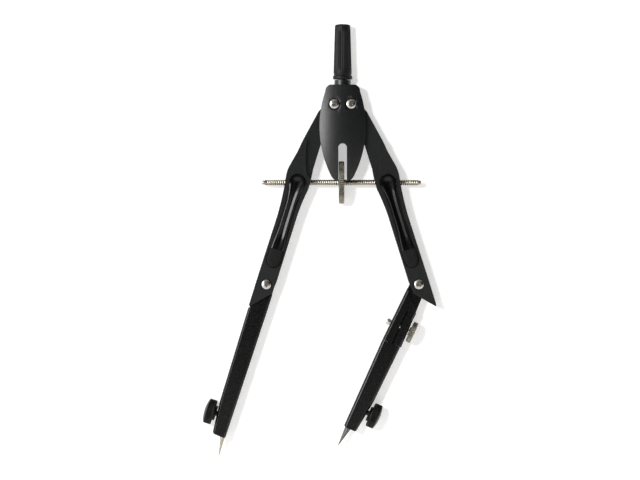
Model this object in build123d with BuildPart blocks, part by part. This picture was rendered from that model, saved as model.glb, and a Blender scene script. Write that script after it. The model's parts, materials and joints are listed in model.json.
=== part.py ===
"""Quick-adjust bow compass: head, two linked legs, threaded spindle, knees, needle and lead."""
from build123d import *
from math import asin, cos, radians, sin, tan
import os

os.makedirs("parts", exist_ok=True)

# Frame: origin on the handle's axis at the middle of its collar, +Z up the handle,
# legs spread along X, the front of the compass faces -Y.  All sizes in millimetres.

# Linkage
pivot_x = 3.15              # half the distance between the two leg pivots
pivot_z = -10.2
nut_reach = 32.8            # from a leg's pivot to the spindle crossing
nut_angle = 25.3            # slope of that line at rest, from the vertical
leg_tilt = 16.9             # lean of the leg's long axis at rest
close_turn = 19.6           # turn of each leg from rest to closed
open_turn = 19.5            # turn of each leg from rest to fully open
knee_drop = 40.45           # from the spindle crossing to the knee, along the leg
straight_tilt = 17.9        # lean of a lower leg that stands straight
bent_tilt = 24.7            # lean of the bent lower leg, towards the middle

# Handle and head
handle_top = 20.4
collar_r = 3.7
collar_half = 0.5
neck_r = 3.13
stem_r = 1.5
stem_top = 12.0
flange_r = 2.3
flange_low = -5.7
flange_high = -4.3
head_half_width = 8.8
head_top = -2.75
head_foot = -39.3
head_half_depth = 5.3
dome_rise = 1.7             # how far the head's faces rise from rim to crown
cavity_half = 2.3           # half the gap between the two covers
cavity_top = -6.6
cavity_side_top = -8.6
slot_half = 1.635
slot_top = -24.9
web_size = (2.4, 5.0)
web_z = -19.0
seat_y = 4.0                # depth of the screw seats from the middle plane
screw_head_r = 1.9
screw_r = 1.0
sleeve_r = 1.9

# Gear sectors round the pivots
gear_teeth = 14
tooth_half = 0.30
tooth_high = 0.30
tooth_deep = 0.45

# Legs
plate_half = 2.1            # half thickness of a leg inside the head
leg_half = 3.5              # half thickness of a leg outside it
fork_half = 1.8             # inner faces of the fork at the knee
tongue_half = 1.5
tongue_r = 3.2
lower_half = 3.1            # half thickness of the lower legs
bevel = 0.7
knee_screw_r = 1.2
knee_head_r = 1.95

# Spindle, wheel and nuts
spindle_r = 1.15
thread_pitch = 0.8
thread_depth = 0.2
spindle_half = 30.2
end_r = 0.8
end_length = 1.1
wheel_x = -0.42
wheel_r = 8.05
wheel_half = 1.05
washer_r = 2.6
washer_depth = 0.35
block_r = 2.8
block_back = 2.95
block_front = -0.9
nut_head_r = 2.2
run = 0.06                  # radial clearance of parts that turn or slide

# Release levers, in the leg's own frame
dish_r = 2.95
lever_face = -4.3
lever_back = -2.7
lever_pin_y = -2.35
lever_pin_z = -10.0
lever_gap = 0.25
lever_pin_r = 0.6
pad_floor = -0.8
spring_z = -28.5
spring_r = 1.1
spring_wire = 0.18
spring_bottom = 1.5

# Knobs, needle, lead and the clamp of the pull-out insert
knob_r = 4.75
knob_z = -52.5
knob_neck_r = 2.9
knob_top = 7.75
stud_r = 1.0
stud_end = 6.3
needle_r = 0.9
needle_lean = 6.9
needle_foot = (1.9, -60.1)  # where the needle leaves its leg
needle_cone = 7.6
lead_r = 1.1
lead_lean = 4.5
lead_foot = (-1.7, -61.2)
lead_cone = 6.9
point_depth = 19.0          # depth of the bores of needle and lead
joint_line = -24.6          # where the insert leaves its socket
clamp_z = -17.6
clamp_y = -1.1
clamp_r = 0.8
clamp_nut_r = 4.1
tang_half = 1.7
tang_depth = 2.3

nut_x = pivot_x + nut_reach * sin(radians(nut_angle))
nut_z = pivot_z - nut_reach * cos(radians(nut_angle))
pivot_in_leg = (nut_reach * sin(radians(nut_angle - leg_tilt)),
                nut_reach * cos(radians(nut_angle - leg_tilt)))
knee_x = nut_x + knee_drop * sin(radians(leg_tilt))
knee_z = nut_z - knee_drop * cos(radians(leg_tilt))


def leaning(x, z, tilt):
    """Plane in the middle of a leg: its Y runs up the leg, its Z comes out of the front."""
    lean = radians(tilt)
    return Plane(origin=(x, 0, z), x_dir=(cos(lean), 0, -sin(lean)), z_dir=(0, -1, 0))


def across(plane, x, y, depth):
    """Plane square to the width of a leg, at x along it, y up it and depth behind its middle."""
    centre = plane.from_local_coords(Vector(x, y, -depth))
    return Plane(origin=centre, x_dir=(0, 1, 0), z_dir=plane.x_dir)


def down(plane, x, y, lean, depth=0.0):
    """Plane square to an axis that points down a leg, leaning towards +x by an angle."""
    centre = plane.from_local_coords(Vector(x, y, -depth))
    axis = plane.x_dir * sin(radians(lean)) - plane.y_dir * cos(radians(lean))
    return Plane(origin=centre, x_dir=(0, 1, 0), z_dir=axis)


def cap_middle(rim_r, rim_y, top):
    """Middle point of a spherical cap's profile, from its rim to its top on the axis."""
    rise = top - rim_y
    radius = (rim_r ** 2 + rise ** 2) / (2 * rise)
    half = asin(rim_r / radius) / 2
    return (radius * sin(half), top - radius * (1 - cos(half)))


leg_plane = leaning(-nut_x, nut_z, leg_tilt)
left_knee = leaning(-knee_x, knee_z, straight_tilt)
right_knee = leaning(knee_x, knee_z, bent_tilt)
front = Plane.XZ


def head_outline(grow=0.0):
    """Almond outline of the head, larger by grow."""
    hip_x = 6.9 + grow
    foot = (2.0, head_foot - grow)
    with BuildSketch(front) as outline:
        with BuildLine():
            crown = Line((0, head_top), (4.6, head_top))
            corner = ThreePointArc(crown @ 1, (6.0, -3.55), (hip_x - 0.3, -5.3))
            side = ThreePointArc(corner @ 1, (head_half_width + grow, -18.5), (hip_x, -31.0))
            lobe = TangentArc(side @ 1, (4.3 + grow, -37.4 - grow), tangent=side % 1)
            TangentArc(lobe @ 1, foot, tangent=lobe % 1)
            Line(foot, (0, head_foot - grow))
            Line((0, head_foot - grow), (0, head_top))
        make_face()
        mirror(about=Plane.YZ)
    return outline.sketch


def make_cover(label, is_front):
    """One shell of the head, made as the front one and turned over for the back one."""
    with BuildPart() as cover:
        extrude(head_outline(), amount=head_half_depth + 0.1, both=True)
        # Barrel envelope: its cross sections are arcs, and so is its profile.
        with BuildSketch(Plane.YZ):
            with BuildLine():
                axis_y = 19.5
                crown = ThreePointArc((dome_rise - head_half_depth, 0), (-head_half_depth, -19.0),
                                      (dome_rise - head_half_depth, -41.0))
                Line(crown @ 1, (axis_y, -41.0))
                Line((axis_y, -41.0), (axis_y, 0))
                Line((axis_y, 0), crown @ 0)
            make_face()
        revolve(axis=Axis((0, axis_y, 0), (0, 0, 1)), mode=Mode.INTERSECT)
        # Room for the leg plates, closed by a wall above them.
        with BuildSketch(front):
            with Locations((0, cavity_side_top)):
                Rectangle(24.0, 40.0, align=(Align.CENTER, Align.MAX))
            with Locations((0, cavity_top)):
                Rectangle(13.4, 10.0, align=(Align.CENTER, Align.MAX))
        extrude(amount=cavity_half, both=True, mode=Mode.SUBTRACT)
        split(bisect_by=front, keep=Keep.TOP)
        # Slot for the wheel, rounded at its top.
        with BuildSketch(front):
            with Locations((0, slot_top - slot_half)):
                Circle(slot_half)
                Rectangle(2 * slot_half, 20.0, align=(Align.CENTER, Align.MAX))
        extrude(amount=head_half_depth + 1, mode=Mode.SUBTRACT)
        # Half of the neck under the handle, the bore for its stem and the groove for its flange.
        with BuildSketch(Plane.XY.offset(head_top - 0.1)):
            Circle(neck_r)
            Rectangle(10, 5, align=(Align.CENTER, Align.MIN), mode=Mode.SUBTRACT)
        extrude(amount=-0.85 - head_top)
        with BuildSketch(Plane.XY.offset(flange_low)):
            Circle(stem_r + 0.02)
        extrude(amount=8.0, mode=Mode.SUBTRACT)
        with BuildSketch(Plane.XY.offset(flange_low - 0.02)):
            Circle(flange_r + 0.02)
        extrude(amount=flange_high - flange_low + 0.04, mode=Mode.SUBTRACT)
        # Screw seats and bores.
        pivots = Locations((-pivot_x, pivot_z), (pivot_x, pivot_z))
        with BuildSketch(front.offset(seat_y)):
            with pivots:
                Circle(screw_head_r + 0.35)
        extrude(amount=2.5, mode=Mode.SUBTRACT)
        with BuildSketch(front):
            with pivots:
                Circle(screw_r + 0.05 if is_front else sleeve_r + 0.02)
        extrude(amount=head_half_depth + 1, mode=Mode.SUBTRACT)
        if not is_front:
            # Web between the legs that holds the covers apart.
            with BuildSketch(front):
                with Locations((0, web_z)):
                    Rectangle(*web_size)
            extrude(amount=cavity_half, both=True)
            mirror(about=front, mode=Mode.REPLACE)
    cover.part.label = label
    export_step(cover.part, f"parts/{label}.step")


def make_handle():
    with BuildPart() as handle:
        with BuildSketch(front):
            with BuildLine():
                foot = Line((0, -collar_half - 0.2), (collar_r - 0.2, -collar_half - 0.2))
                flare = Polyline(foot @ 1, (collar_r, -collar_half), (collar_r, collar_half),
                                 (3.3, 0.85), (3.3, 1.2), (3.45, 1.4), (2.95, 19.4))
                shoulder = ThreePointArc(flare @ 1, (2.8, 19.85), (2.4, 20.05))
                crown = ThreePointArc(shoulder @ 1, cap_middle(2.4, 20.05, handle_top),
                                      (0, handle_top))
                Line(crown @ 1, foot @ 0)
            make_face()
        revolve(axis=Axis.Z)
        with BuildSketch(Plane.XY.offset(-1)):
            Circle(stem_r + 0.02)
        extrude(amount=1 + stem_top, mode=Mode.SUBTRACT)
    handle.part.label = "handle"
    export_step(handle.part, "parts/handle.step")


def make_handle_stem():
    with BuildPart() as handle_stem:
        with BuildSketch(Plane.XY.offset(flange_low)):
            Circle(flange_r)
        extrude(amount=flange_high - flange_low)
        with BuildSketch(Plane.XY.offset(flange_high)):
            Circle(stem_r)
        extrude(amount=stem_top - 0.2 - flange_high)
        chamfer(handle_stem.edges().sort_by(Axis.Z)[-1], 0.3)
    handle_stem.part.label = "handle_stem"
    export_step(handle_stem.part, "parts/handle_stem.step")


def make_pivot_hardware():
    pivots = Locations((-pivot_x, pivot_z), (pivot_x, pivot_z))
    with BuildPart() as pivot_screws:
        with BuildSketch(front.offset(seat_y)):
            with pivots:
                Circle(screw_head_r)
        extrude(amount=1.0)
        fillet(pivot_screws.edges().group_by(Axis.Y)[0], 0.45)
        with BuildSketch(front.offset(seat_y)):
            with pivots:
                Circle(screw_r)
        extrude(amount=-7.4)
    pivot_screws.part.label = "pivot_screws"
    export_step(pivot_screws.part, "parts/pivot_screws.step")

    with BuildPart() as pivot_sleeves:
        with BuildSketch(front.offset(-seat_y)):
            with pivots:
                Circle(screw_head_r + 0.3)
        extrude(amount=-0.8)
        chamfer(pivot_sleeves.edges().group_by(Axis.Y)[-1], 0.2)
        with BuildSketch(front.offset(-seat_y)):
            with pivots:
                Circle(sleeve_r)
        extrude(amount=seat_y + cavity_half - 0.02)
        with BuildSketch(front.offset(cavity_half)):
            with pivots:
                Circle(screw_r + 0.02)
        extrude(amount=-5.8, mode=Mode.SUBTRACT)
    pivot_sleeves.part.label = "pivot_sleeves"
    export_step(pivot_sleeves.part, "parts/pivot_sleeves.step")


def leg_outline(with_plate):
    """Outline of a left upper leg in its own frame; the plate reaches up to the pivot."""
    hub_x, hub_y = pivot_in_leg
    with BuildSketch(leg_plane) as outline:
        with BuildLine():
            outer = Polyline((-2.6, 16.4), (-3.4, 11.0), (-4.55, 5.9))
            elbow = ThreePointArc(outer @ 1, (-4.97, 3.0), (-4.75, 0.4))
            waist = ThreePointArc(elbow @ 1, (-3.95, -7.0), (-3.65, -14.5))
            shin = Polyline(waist @ 1, (-4.05, -40.0), (-4.1, -49.6), (-3.75, -50.3),
                            (3.0, -43.2), (3.4, -38.0), (3.6, -14.5))
            belly = ThreePointArc(shin @ 1, (3.95, -6.8), (4.7, -1.4))
            breast = ThreePointArc(belly @ 1, (4.65, 1.5), (4.25, 6.5))
            neck = Line(breast @ 1, (4.3, 16.4))
            if with_plate:
                Polyline(neck @ 1, (6.0, 29.0), (hub_x + 0.6, hub_y + 1.0),
                         (hub_x - 2.35, hub_y + 1.4), (-0.2, 28.0), outer @ 0)
            else:
                Line(neck @ 1, outer @ 0)
        make_face()
    return outline.sketch


def lever_outline(grow=0.0):
    """Outline of a release lever below its dish: a waist and a pad with a round end."""
    pad_half = 2.7 + grow
    with BuildSketch(leg_plane) as outline:
        with BuildLine():
            edge = Spline((pad_half, -27.0), (2.0 + grow, -18.0), (1.95 + grow, -9.0),
                          (2.6 + grow, -1.0), tangents=((-0.15, 1), (0.1, 1)))
            Polyline(edge @ 1, (0, -1.0), (0, -33.6 - grow))
            foot = ThreePointArc((0, -33.6 - grow), (1.95 + grow, -32.6 - grow * 0.7),
                                 (pad_half, -30.4))
            Line(foot @ 1, edge @ 0)
        make_face()
        mirror(about=Plane.YZ)
    return outline.sketch


def make_upper_leg(side):
    hub_r = pivot_x - tooth_deep
    tip_r = pivot_x + tooth_high
    tooth_step = 360 / gear_teeth
    # The teeth of one leg stand in the gaps of the other.
    first = leg_tilt - 2 * tooth_step + (0 if side == "left" else tooth_step / 2)
    swing_low = tan(radians(leg_tilt - close_turn))
    swing_high = tan(radians(leg_tilt + open_turn))
    reach = 6.5
    hole = spindle_r + 0.25
    hole_high = hole / cos(radians(leg_tilt + open_turn))
    with BuildPart() as upper_leg:
        extrude(leg_outline(False), amount=leg_half, both=True)
        # The leg is thinner where it turns into the head.
        turned_head = head_outline(0.3).rotate(Axis((-pivot_x, 0, pivot_z), (0, 1, 0)), close_turn)
        extrude(turned_head, amount=leg_half + 1, both=True, mode=Mode.SUBTRACT)
        extrude(leg_outline(True), amount=plate_half, both=True)
        with BuildSketch(leg_plane):
            with Locations(pivot_in_leg):
                Circle(hub_r)
                with PolarLocations(0, 5, start_angle=first, angular_range=5 * tooth_step):
                    Polygon((hub_r - 0.3, -tooth_half - 0.16), (tip_r, -tooth_half + 0.12),
                            (tip_r, tooth_half - 0.12), (hub_r - 0.3, tooth_half + 0.16),
                            align=None)
        extrude(amount=plate_half, both=True)
        with BuildSketch(leg_plane):
            with Locations(pivot_in_leg):
                Circle(sleeve_r + run)
        extrude(amount=leg_half, both=True, mode=Mode.SUBTRACT)
        # Passage for the spindle over the whole swing.
        with BuildSketch(leg_plane):
            Polygon((reach, reach * swing_low - hole), (reach, reach * swing_high + hole_high),
                    (0, hole_high), (-reach, hole - reach * swing_low),
                    (-reach, -reach * swing_high - hole_high), (0, -hole_high), align=None)
        extrude(amount=hole, both=True, mode=Mode.SUBTRACT)
        # Seat of the swivel block, pocket of the lever and blind hole of its spring.
        with BuildSketch(leg_plane.offset(-block_back - 0.05)):
            Circle(block_r + run)
        extrude(amount=10, mode=Mode.SUBTRACT)
        with BuildSketch(leg_plane.offset(2.0)):
            Circle(dish_r + lever_gap)
        extrude(amount=5, mode=Mode.SUBTRACT)
        floor = lever_outline(lever_gap).moved(Location((0, pad_floor, 0)))
        extrude(floor, amount=5, mode=Mode.SUBTRACT)
        with BuildSketch(leg_plane.offset(-spring_bottom)):
            with Locations((0, spring_z)):
                Circle(spring_r + spring_wire + 0.25)
        extrude(amount=4, mode=Mode.SUBTRACT)
        with BuildSketch(across(leg_plane, 0, lever_pin_z, lever_pin_y)):
            Circle(lever_pin_r + 0.02)
        extrude(amount=6, both=True, mode=Mode.SUBTRACT)
        # Fork of the knee, its bore and the seats of the screw and the nut.
        with BuildSketch(leg_plane):
            with Locations((0, 3.75 - knee_drop)):
                Rectangle(12, 20, align=(Align.CENTER, Align.MAX))
        extrude(amount=fork_half, both=True, mode=Mode.SUBTRACT)
        with BuildSketch(leg_plane):
            with Locations((0, -knee_drop)):
                Circle(knee_screw_r + 0.02)
        extrude(amount=6, both=True, mode=Mode.SUBTRACT)
        with BuildSketch(leg_plane.offset(leg_half - 0.5), leg_plane.offset(-leg_half)):
            with Locations((0, -knee_drop)):
                Circle(knee_head_r + 0.3)
        extrude(amount=0.5, mode=Mode.SUBTRACT)
        if side == "right":
            mirror(about=Plane.YZ, mode=Mode.REPLACE)
    upper_leg.part.label = f"upper_leg_{side}"
    export_step(upper_leg.part, f"parts/upper_leg_{side}.step")


def make_swivel_block(side):
    """Block behind the spindle: it turns in the leg, and the spindle runs through its saddle."""
    with BuildPart() as swivel_block:
        with BuildSketch(Plane((-nut_x, block_back, nut_z), z_dir=(0, -1, 0))):
            Circle(block_r)
        extrude(amount=block_back - block_front)
        chamfer(swivel_block.edges().group_by(Axis.Y)[-1], 0.3)
        with BuildSketch(Plane((-nut_x, 0, nut_z), x_dir=(0, 1, 0), z_dir=(1, 0, 0))):
            Circle(spindle_r + run)
            Rectangle(6, 2 * (spindle_r + run), align=(Align.MAX, Align.CENTER))
        extrude(amount=5, both=True, mode=Mode.SUBTRACT)
        if side == "right":
            mirror(about=Plane.YZ, mode=Mode.REPLACE)
    swivel_block.part.label = f"swivel_block_{side}"
    export_step(swivel_block.part, f"parts/swivel_block_{side}.step")


def make_half_nut(side):
    """Round head that turns in the lever's dish, with a tongue that lies on the thread."""
    with BuildPart() as half_nut:
        with BuildSketch(Plane((-nut_x, -3.65, nut_z), x_dir=(1, 0, 0), z_dir=(0, 1, 0))):
            Circle(nut_head_r)
        extrude(amount=1.7)
        with BuildSketch(Plane((-nut_x, -2.0, nut_z), x_dir=(1, 0, 0), z_dir=(0, 1, 0))):
            Rectangle(3.4, 1.5)
        extrude(amount=1.7)
        with BuildSketch(Plane((-nut_x, 0, nut_z), x_dir=(0, 1, 0), z_dir=(1, 0, 0))):
            Circle(spindle_r + run)
        extrude(amount=5, both=True, mode=Mode.SUBTRACT)
        if side == "right":
            mirror(about=Plane.YZ, mode=Mode.REPLACE)
    half_nut.part.label = f"half_nut_{side}"
    export_step(half_nut.part, f"parts/half_nut_{side}.step")


def make_lever(side):
    with BuildPart() as lever:
        blade = lever_outline().moved(Location((0, lever_back, 0)))
        extrude(blade, amount=lever_back - lever_face)
        with BuildSketch(leg_plane.offset(-lever_back)):
            Circle(dish_r)
        extrude(amount=lever_back - lever_face)
        fillet(lever.faces().sort_by(Axis.Y)[0].edges(), 0.35)
        # Ears round the hinge pin.
        with BuildSketch(across(leg_plane, 0, lever_pin_z, lever_pin_y)):
            with Locations((0.1, 0)):
                RectangleRounded(1.9, 2.6, 0.6)
        extrude(amount=1.6, both=True)
        with BuildSketch(across(leg_plane, 0, lever_pin_z, lever_pin_y)):
            Circle(lever_pin_r + run)
        extrude(amount=5, both=True, mode=Mode.SUBTRACT)
        # Bore for the half nut's head.
        with BuildSketch(leg_plane.offset(1.0 - lever_back)):
            Circle(nut_head_r + run)
        extrude(amount=-3, mode=Mode.SUBTRACT)
        if side == "right":
            mirror(about=Plane.YZ, mode=Mode.REPLACE)
    lever.part.label = f"release_lever_{side}"
    export_step(lever.part, f"parts/release_lever_{side}.step")


def make_lever_pin(side):
    with BuildPart() as lever_pin:
        with BuildSketch(across(leg_plane, 0, lever_pin_z, lever_pin_y)):
            Circle(lever_pin_r)
        extrude(amount=3.6, both=True)
        if side == "right":
            mirror(about=Plane.YZ, mode=Mode.REPLACE)
    lever_pin.part.label = f"lever_pin_{side}"
    export_step(lever_pin.part, f"parts/lever_pin_{side}.step")


def make_lever_spring(side):
    end_gap = spring_wire + 0.07
    foot = leg_plane.from_local_coords(Vector(0, spring_z, -spring_bottom + end_gap))
    height = spring_bottom - lever_back - 2 * end_gap
    with BuildPart() as lever_spring:
        with BuildLine():
            coil = Helix(0.95, height, spring_r, center=foot, direction=(0, -1, 0))
        with BuildSketch(Plane(coil @ 0, z_dir=coil % 0)):
            Circle(spring_wire)
        sweep(is_frenet=True)
        if side == "right":
            mirror(about=Plane.YZ, mode=Mode.REPLACE)
    lever_spring.part.label = f"lever_spring_{side}"
    export_step(lever_spring.part, f"parts/lever_spring_{side}.step")


def make_spindle():
    threaded = spindle_half - end_length
    turns = int(2 * threaded / thread_pitch)
    with BuildPart() as spindle:
        with BuildSketch(front):
            with BuildLine():
                points = [(-spindle_half, 0), (-spindle_half, end_r), (-threaded, end_r)]
                for turn in range(turns):
                    left = (turn - turns / 2) * thread_pitch
                    depth = thread_depth if abs(left + thread_pitch / 2) > wheel_half + 0.5 else 0
                    points.append((left + 0.1, spindle_r))
                    points.append((left + thread_pitch / 2, spindle_r - depth))
                points += [(threaded, spindle_r), (threaded, end_r), (spindle_half, end_r),
                           (spindle_half, 0)]
                Polyline(*[(x + wheel_x, z + nut_z) for x, z in points], close=True)
            make_face()
        revolve(axis=Axis((0, 0, nut_z), (1, 0, 0)))
    spindle.part.label = "spindle"
    export_step(spindle.part, "parts/spindle.step")


def make_wheel():
    with BuildPart() as centre_wheel:
        with BuildSketch(Plane((wheel_x, 0, nut_z), x_dir=(0, 1, 0), z_dir=(1, 0, 0))):
            Circle(wheel_r)
        extrude(amount=wheel_half, both=True)
        chamfer(centre_wheel.edges(), 0.25)
        with BuildSketch(Plane((wheel_x + wheel_half, 0, nut_z), z_dir=(1, 0, 0)),
                         Plane((wheel_x - wheel_half, 0, nut_z), z_dir=(-1, 0, 0))):
            Circle(washer_r + 0.1)
        extrude(amount=-washer_depth, mode=Mode.SUBTRACT)
        with BuildSketch(Plane((wheel_x, 0, nut_z), z_dir=(1, 0, 0))):
            Circle(spindle_r + 0.02)
        extrude(amount=5, both=True, mode=Mode.SUBTRACT)
    centre_wheel.part.label = "centre_wheel"
    export_step(centre_wheel.part, "parts/centre_wheel.step")


def make_thrust_washers():
    floor = wheel_half - washer_depth + 0.02
    with BuildPart() as thrust_washers:
        with BuildSketch(Plane((wheel_x + floor, 0, nut_z), z_dir=(1, 0, 0)),
                         Plane((wheel_x - floor, 0, nut_z), z_dir=(-1, 0, 0))):
            Circle(washer_r)
            Circle(spindle_r + run, mode=Mode.SUBTRACT)
        extrude(amount=washer_depth - 0.04)
    thrust_washers.part.label = "thrust_washers"
    export_step(thrust_washers.part, "parts/thrust_washers.step")


def make_knee_hardware(side):
    """Screw, nut and pair of washers of a knee."""
    recess = leg_half - 0.5
    with BuildPart() as knee_screw:
        with BuildSketch(leg_plane.offset(recess)):
            with Locations((0, -knee_drop)):
                Circle(knee_head_r)
        extrude(amount=1.0)
        fillet(knee_screw.edges().group_by(Axis.Y)[0], 0.45)
        with BuildSketch(leg_plane.offset(recess)):
            with Locations((0, -knee_drop)):
                Circle(knee_screw_r)
        extrude(amount=-recess - 3.4)
        if side == "right":
            mirror(about=Plane.YZ, mode=Mode.REPLACE)
    knee_screw.part.label = f"knee_screw_{side}"
    export_step(knee_screw.part, f"parts/knee_screw_{side}.step")

    with BuildPart() as knee_nut:
        with BuildSketch(leg_plane.offset(-recess)):
            with Locations((0, -knee_drop)):
                RegularPolygon(knee_head_r, 6)
                Circle(knee_screw_r + 0.02, mode=Mode.SUBTRACT)
        extrude(amount=-0.9)
        if side == "right":
            mirror(about=Plane.YZ, mode=Mode.REPLACE)
    knee_nut.part.label = f"knee_nut_{side}"
    export_step(knee_nut.part, f"parts/knee_nut_{side}.step")

    with BuildPart() as knee_washers:
        with BuildSketch(leg_plane.offset(tongue_half + 0.025), leg_plane.offset(-fork_half + 0.025)):
            with Locations((0, -knee_drop)):
                Circle(2.9)
                Circle(knee_screw_r + 0.05, mode=Mode.SUBTRACT)
        extrude(amount=fork_half - tongue_half - 0.05)
        if side == "right":
            mirror(about=Plane.YZ, mode=Mode.REPLACE)
    knee_washers.part.label = f"knee_washers_{side}"
    export_step(knee_washers.part, f"parts/knee_washers_{side}.step")


def lower_leg_body(plane, points, inner=0):
    """Straight body with bevelled long edges, and a tongue with its bore where it has a knee.

    inner is +1 or -1, the side of the plane that faces the middle of the compass; 0 is no knee.
    """
    with BuildPart() as body:
        with BuildSketch(plane):
            with BuildLine():
                Polyline(*points, close=True)
            make_face()
        extrude(amount=lower_half, both=True)
        faces = body.faces().sort_by(Axis.Y)
        rims = faces[0].edges() + faces[-1].edges()
        long_edges = [edge for edge in rims
                      if edge.length > 8 and abs((edge % 0.5).dot(plane.y_dir)) > 0.98]
        chamfer(long_edges, bevel)
        if inner:
            with BuildSketch(plane):
                Circle(tongue_r)
                Polygon((-inner * tongue_r, 0), (inner * tongue_r, 0), (inner * 3.2, -5),
                        (-inner * 3.5, -12), (-inner * tongue_r, -5), align=None)
            extrude(amount=tongue_half, both=True)
            with BuildSketch(plane):
                Circle(knee_screw_r + run)
            extrude(amount=tongue_half + 1, both=True, mode=Mode.SUBTRACT)
    return body.part


def make_left_lower_leg():
    with BuildPart() as lower_leg_left:
        add(lower_leg_body(left_knee, [
            (3.35, -3.1), (3.4, -8.4), (3.1, -50.0), (3.05, -59.8), (2.6, -60.4),
            (-1.6, -60.1), (-2.2, -59.5), (-3.2, -47.3), (-3.85, -10.6)], inner=1))
        with BuildSketch(down(left_knee, *needle_foot, needle_lean)):
            Circle(needle_r + 0.05)
        extrude(amount=point_depth, both=True, mode=Mode.SUBTRACT)
        with BuildSketch(across(left_knee, 0.5, knob_z, 0)):
            Circle(stud_r + run)
        extrude(amount=-8, mode=Mode.SUBTRACT)
    lower_leg_left.part.label = "lower_leg_left"
    export_step(lower_leg_left.part, "parts/lower_leg_left.step")


def make_knee_socket():
    """Upper piece of the bent lower leg: it takes the insert's tang and clamps it."""
    with BuildPart() as knee_socket:
        add(lower_leg_body(right_knee, [
            (-3.35, -3.1), (-3.5, -12.0), (-3.8, joint_line),
            (3.85, joint_line), (3.6, -14.0), (3.7, -10.5)], inner=-1))
        # Square bore for the tang.
        with BuildSketch(down(right_knee, 0, joint_line, 0, tang_depth / 2)):
            Rectangle(tang_depth + 0.1, 2 * tang_half + 0.1)
        extrude(amount=-14.0, mode=Mode.SUBTRACT)
        # Slit that lets the front wall close on the tang, and the clamp screw across it.
        with BuildSketch(right_knee):
            with Locations((0.2, joint_line)):
                Rectangle(0.4, 13.6, align=(Align.CENTER, Align.MIN))
        extrude(amount=lower_half + 1, mode=Mode.SUBTRACT)
        with BuildSketch(across(right_knee, 0, clamp_z, clamp_y)):
            Circle(clamp_r + run)
        extrude(amount=6, both=True, mode=Mode.SUBTRACT)
    knee_socket.part.label = "knee_socket"
    export_step(knee_socket.part, "parts/knee_socket.step")


def make_socket_clamp():
    with BuildPart() as clamp_screw:
        with BuildSketch(across(right_knee, -5.4, clamp_z, clamp_y)):
            Circle(1.25)
        extrude(amount=1.65)
        with BuildSketch(across(right_knee, -5.4, clamp_z, clamp_y)):
            Circle(clamp_r)
        extrude(amount=11.8)
    clamp_screw.part.label = "socket_clamp_screw"
    export_step(clamp_screw.part, "parts/socket_clamp_screw.step")

    with BuildPart() as clamp_nut:
        with BuildSketch(across(right_knee, 4.35, clamp_z, clamp_y)):
            Circle(clamp_nut_r)
        extrude(amount=1.8)
        rims = clamp_nut.edges()
        chamfer(rims, 0.2)
        with BuildSketch(across(right_knee, 3.95, clamp_z, clamp_y)):
            Circle(1.7)
        extrude(amount=1.0)
        with BuildSketch(across(right_knee, 3.5, clamp_z, clamp_y)):
            Circle(clamp_r + run)
        extrude(amount=5, mode=Mode.SUBTRACT)
    clamp_nut.part.label = "socket_clamp_nut"
    export_step(clamp_nut.part, "parts/socket_clamp_nut.step")


def make_lead_insert():
    with BuildPart() as lead_insert:
        add(lower_leg_body(right_knee, [
            (-3.8, joint_line - 0.1), (-3.4, -60.3), (-2.9, -60.9), (1.2, -60.8),
            (1.7, -60.2), (3.05, -47.0), (3.55, joint_line - 0.1)]))
        with BuildSketch(down(right_knee, 0, joint_line - 0.2, 0, tang_depth / 2)):
            Rectangle(tang_depth, 2 * tang_half)
        extrude(amount=-13.4)
        with BuildSketch(down(right_knee, *lead_foot, -lead_lean)):
            Circle(lead_r + 0.05)
        extrude(amount=point_depth, both=True, mode=Mode.SUBTRACT)
        with BuildSketch(across(right_knee, -0.5, knob_z, 0)):
            Circle(stud_r + run)
        extrude(amount=8, mode=Mode.SUBTRACT)
    lead_insert.part.label = "lead_insert"
    export_step(lead_insert.part, "parts/lead_insert.step")


def make_point(label, plane, foot, lean, radius, cone):
    """Round rod with a conical tip, in the foot of a lower leg; cone is the tip's length."""
    seat = down(plane, *foot, lean)
    seated = 14.0
    collar = 0.6
    with BuildPart() as point:
        with BuildSketch(seat.offset(-seated)):
            Circle(radius)
        extrude(amount=seated + collar)
        with BuildSketch(Plane(seat.offset(collar).origin, x_dir=(0, 1, 0),
                               z_dir=-(seat.z_dir.cross(Vector(0, 1, 0))))):
            Polygon((0, 0), (radius, 0), (0.08, cone), (0, cone + 0.05), align=None)
        revolve(axis=Axis(seat.origin, seat.z_dir))
    point.part.label = label
    export_step(point.part, f"parts/{label}.step")


def make_knob(side, plane, outer, tip):
    """Thumb knob and its stud, which ends at tip; outer is +1 or -1, the side it stands on."""
    face = Plane(plane.from_local_coords(Vector(0, knob_z, 0)), x_dir=plane.y_dir,
                 z_dir=Vector(0, -1, 0) * -outer)
    with BuildPart() as clamp_knob:
        with BuildSketch(face):
            with BuildLine():
                rim = Polyline((0, 3.15), (knob_neck_r, 3.15), (knob_neck_r, 3.95), (4.4, 3.95),
                               (knob_r, 4.3), (knob_r, 6.7), (4.55, 7.0))
                dome = ThreePointArc(rim @ 1, cap_middle(4.55, 7.0, knob_top), (0, knob_top))
                Line(dome @ 1, rim @ 0)
            make_face()
        revolve(axis=Axis(face.origin, face.y_dir))
        with BuildSketch(across(plane, 0, knob_z, 0)):
            Circle(stud_r + 0.02)
        extrude(amount=outer * stud_end, mode=Mode.SUBTRACT)
    clamp_knob.part.label = f"clamp_knob_{side}"
    export_step(clamp_knob.part, f"parts/clamp_knob_{side}.step")

    with BuildPart() as clamp_stud:
        with BuildSketch(across(plane, tip, knob_z, 0)):
            Circle(stud_r)
        extrude(amount=outer * (stud_end - 0.1) - tip)
    clamp_stud.part.label = f"clamp_stud_{side}"
    export_step(clamp_stud.part, f"parts/clamp_stud_{side}.step")


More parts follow.
